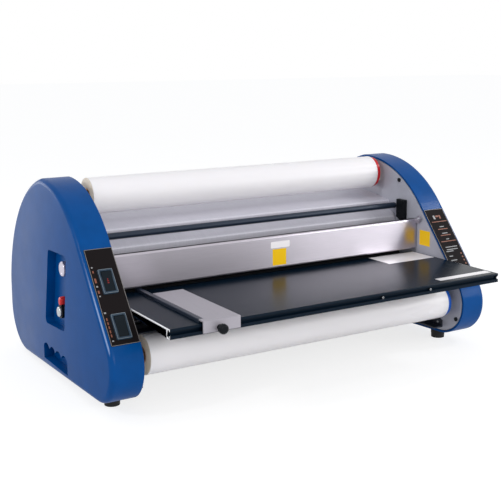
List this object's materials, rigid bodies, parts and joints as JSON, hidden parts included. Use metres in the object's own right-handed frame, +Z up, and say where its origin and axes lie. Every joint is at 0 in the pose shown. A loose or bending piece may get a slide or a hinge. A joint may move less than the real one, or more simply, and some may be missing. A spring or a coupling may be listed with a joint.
{
  "type": "roll laminator",
  "caption": "Table-top roll laminator with moulded end covers, film rolls, heated and pull rollers, swinging heat shield, feed tray with sliding paper guide, pressure lever and switches.",
  "frame": {"origin": "on the table top, under the middle of the width and of the full depth, guide knob included", "axes": "+X along the rollers to the operator's right, -Y to the operator and the feed tray, +Z up"},
  "size_m": [0.852, 0.669, 0.3833],
  "materials": {
    "cover_blue": "semi-gloss",
    "plate_grey": "satin",
    "tray_grey": "satin",
    "shield_steel": "polished",
    "film_white": "satin",
    "core_board": "matte",
    "steel": "satin",
    "disc_red": "satin",
    "disc_blue": "satin",
    "aluminium": "satin",
    "black_anodised": "satin",
    "panel_black": "satin",
    "switch_black": "satin",
    "knob_black": "matte",
    "grip_red": "satin",
    "rubber_black": "matte",
    "bronze": "satin",
    "nylon": "matte",
    "ceramic": "matte",
    "motor_grey": "satin",
    "board_green": "satin"
  },
  "bodies": {
    "frame": {"left_cover": "cover_blue", "right_cover": "cover_blue", "info_panel": "panel_black", "control_panel": "panel_black", "switch_bodies": "switch_black", "left_side_plate": "plate_grey", "right_side_plate": "plate_grey", "plate_bushes": "bronze", "front_crossbar": "motor_grey", "base_pan": "plate_grey", "rear_top_cover": "plate_grey", "rear_panel": "plate_grey", "power_inlet": "knob_black", "supply_saddles": "nylon", "idler_shafts": "steel", "shield_sensor": "knob_black", "drive_motor": "motor_grey", "feed_tray": "tray_grey", "tray_rail": "tray_grey", "control_board": "board_green", "feet": "rubber_black", "cover_screws": "knob_black", "lower_heater": "ceramic"},
    "upper_supply": {"upper_film_roll": "film_white", "upper_core": "core_board", "upper_mandrel": "steel", "upper_brake_disc": "disc_red"},
    "lower_supply": {"lower_film_roll": "film_white", "lower_core": "core_board", "lower_mandrel": "steel", "lower_brake_disc": "disc_blue"},
    "upper_idler_bar": {"upper_idler": "black_anodised"},
    "lower_idler_bar": {"lower_idler": "black_anodised"},
    "lower_heat": {"lower_heat_roller": "aluminium", "lower_heat_sleeve": "rubber_black", "lower_heat_gear": "steel"},
    "lift_frame": {"lift_arms": "steel", "arm_bushes": "bronze", "pressure_springs": "steel", "upper_heater": "ceramic"},
    "upper_heat": {"upper_heat_roller": "aluminium", "upper_heat_sleeve": "rubber_black", "upper_heat_gear": "steel"},
    "lower_pull": {"lower_pull_roller": "rubber_black", "lower_pull_gear": "steel"},
    "upper_pull": {"upper_pull_roller": "rubber_black", "upper_pull_gear": "steel"},
    "transfer": {"transfer_gear": "nylon"},
    "pinion": {"motor_pinion": "steel"},
    "lever": {"lift_shaft": "steel", "pressure_lever": "knob_black", "lever_grip": "grip_red"},
    "tension": {"tension_knob": "aluminium"},
    "shield": {"heat_shield": "shield_steel"},
    "guide": {"paper_guide": "aluminium", "guide_fence": "knob_black", "clamp_nut": "steel"},
    "guide_clamp": {"guide_knob": "knob_black"},
    "motor_switch": {"motor_rocker": "switch_black"},
    "power_switch": {"power_rocker": "switch_black"}
  },
  "joints": [
    {"name": "upper_supply_spin", "type": "hinge", "parent": "frame", "child": "upper_supply", "pos_m": [0, 0.0835, 0.347], "axis": [1, 0, 0], "continuous": true},
    {"name": "lower_supply_spin", "type": "hinge", "parent": "frame", "child": "lower_supply", "pos_m": [0, -0.1572, 0.0954], "axis": [1, 0, 0], "continuous": true},
    {"name": "upper_idler_spin", "type": "hinge", "parent": "frame", "child": "upper_idler_bar", "pos_m": [0, 0.0095, 0.278], "axis": [1, 0, 0], "continuous": true},
    {"name": "lower_idler_spin", "type": "hinge", "parent": "frame", "child": "lower_idler_bar", "pos_m": [0, -0.078, 0.112], "axis": [1, 0, 0], "continuous": true},
    {"name": "lower_heat_spin", "type": "hinge", "parent": "frame", "child": "lower_heat", "pos_m": [0, -0.02, 0.15], "axis": [1, 0, 0], "continuous": true},
    {"name": "roller_lift", "type": "hinge", "parent": "frame", "child": "lift_frame", "pos_m": [0, 0.08, 0.2148], "axis": [-1, 0, 0], "range_deg": [0, 3]},
    {"name": "upper_heat_spin", "type": "hinge", "parent": "lift_frame", "child": "upper_heat", "pos_m": [0, -0.02, 0.2148], "axis": [1, 0, 0], "continuous": true},
    {"name": "transfer_spin", "type": "hinge", "parent": "frame", "child": "transfer", "pos_m": [0, 0.07667, 0.13992], "axis": [1, 0, 0], "continuous": true},
    {"name": "lower_pull_spin", "type": "hinge", "parent": "frame", "child": "lower_pull", "pos_m": [0, 0.165, 0.1572], "axis": [1, 0, 0], "continuous": true},
    {"name": "upper_pull_spin", "type": "hinge", "parent": "frame", "child": "upper_pull", "pos_m": [0, 0.165, 0.2076], "axis": [1, 0, 0], "continuous": true},
    {"name": "pinion_spin", "type": "hinge", "parent": "frame", "child": "pinion", "pos_m": [0, 0.07667, 0.06162], "axis": [1, 0, 0], "continuous": true},
    {"name": "lever_turn", "type": "hinge", "parent": "frame", "child": "lever", "pos_m": [0, 0.042, 0.138], "axis": [-1, 0, 0], "range_deg": [0, 90]},
    {"name": "tension_turn", "type": "hinge", "parent": "frame", "child": "tension", "pos_m": [0, 0.0225, 0.224], "axis": [-1, 0, 0], "range_deg": [-135, 135]},
    {"name": "shield_swing", "type": "hinge", "parent": "frame", "child": "shield", "pos_m": [0, -0.074, 0.2585], "axis": [-1, 0, 0], "range_deg": [0, 85]},
    {"name": "guide_slide", "type": "slide", "parent": "frame", "child": "guide", "axis": [1, 0, 0], "range_m": [-0.05, 0.58]},
    {"name": "guide_knob_turn", "type": "hinge", "parent": "guide", "child": "guide_clamp", "pos_m": [-0.276, -0.3165, 0.1745], "axis": [0, -1, 0], "range_deg": [0, 360]},
    {"name": "motor_rocker_tilt", "type": "hinge", "parent": "frame", "child": "motor_switch", "pos_m": [0, -0.12337, 0.22552], "axis": [-1, 0, 0], "range_deg": [0, 16]},
    {"name": "power_rocker_tilt", "type": "hinge", "parent": "frame", "child": "power_switch", "pos_m": [0, -0.17726, 0.1585], "axis": [-1, 0, 0], "range_deg": [0, 16]}
  ],
  "couplings": [
    {"joint": "upper_heat_spin", "follows": "lower_heat_spin", "ratio": -1},
    {"joint": "transfer_spin", "follows": "lower_heat_spin", "ratio": -0.5},
    {"joint": "lower_pull_spin", "follows": "lower_heat_spin", "ratio": 1.2857},
    {"joint": "upper_pull_spin", "follows": "lower_heat_spin", "ratio": -1.2857},
    {"joint": "pinion_spin", "follows": "lower_heat_spin", "ratio": 2.4},
    {"joint": "roller_lift", "follows": "lever_turn", "ratio": 0.033333}
  ]
}
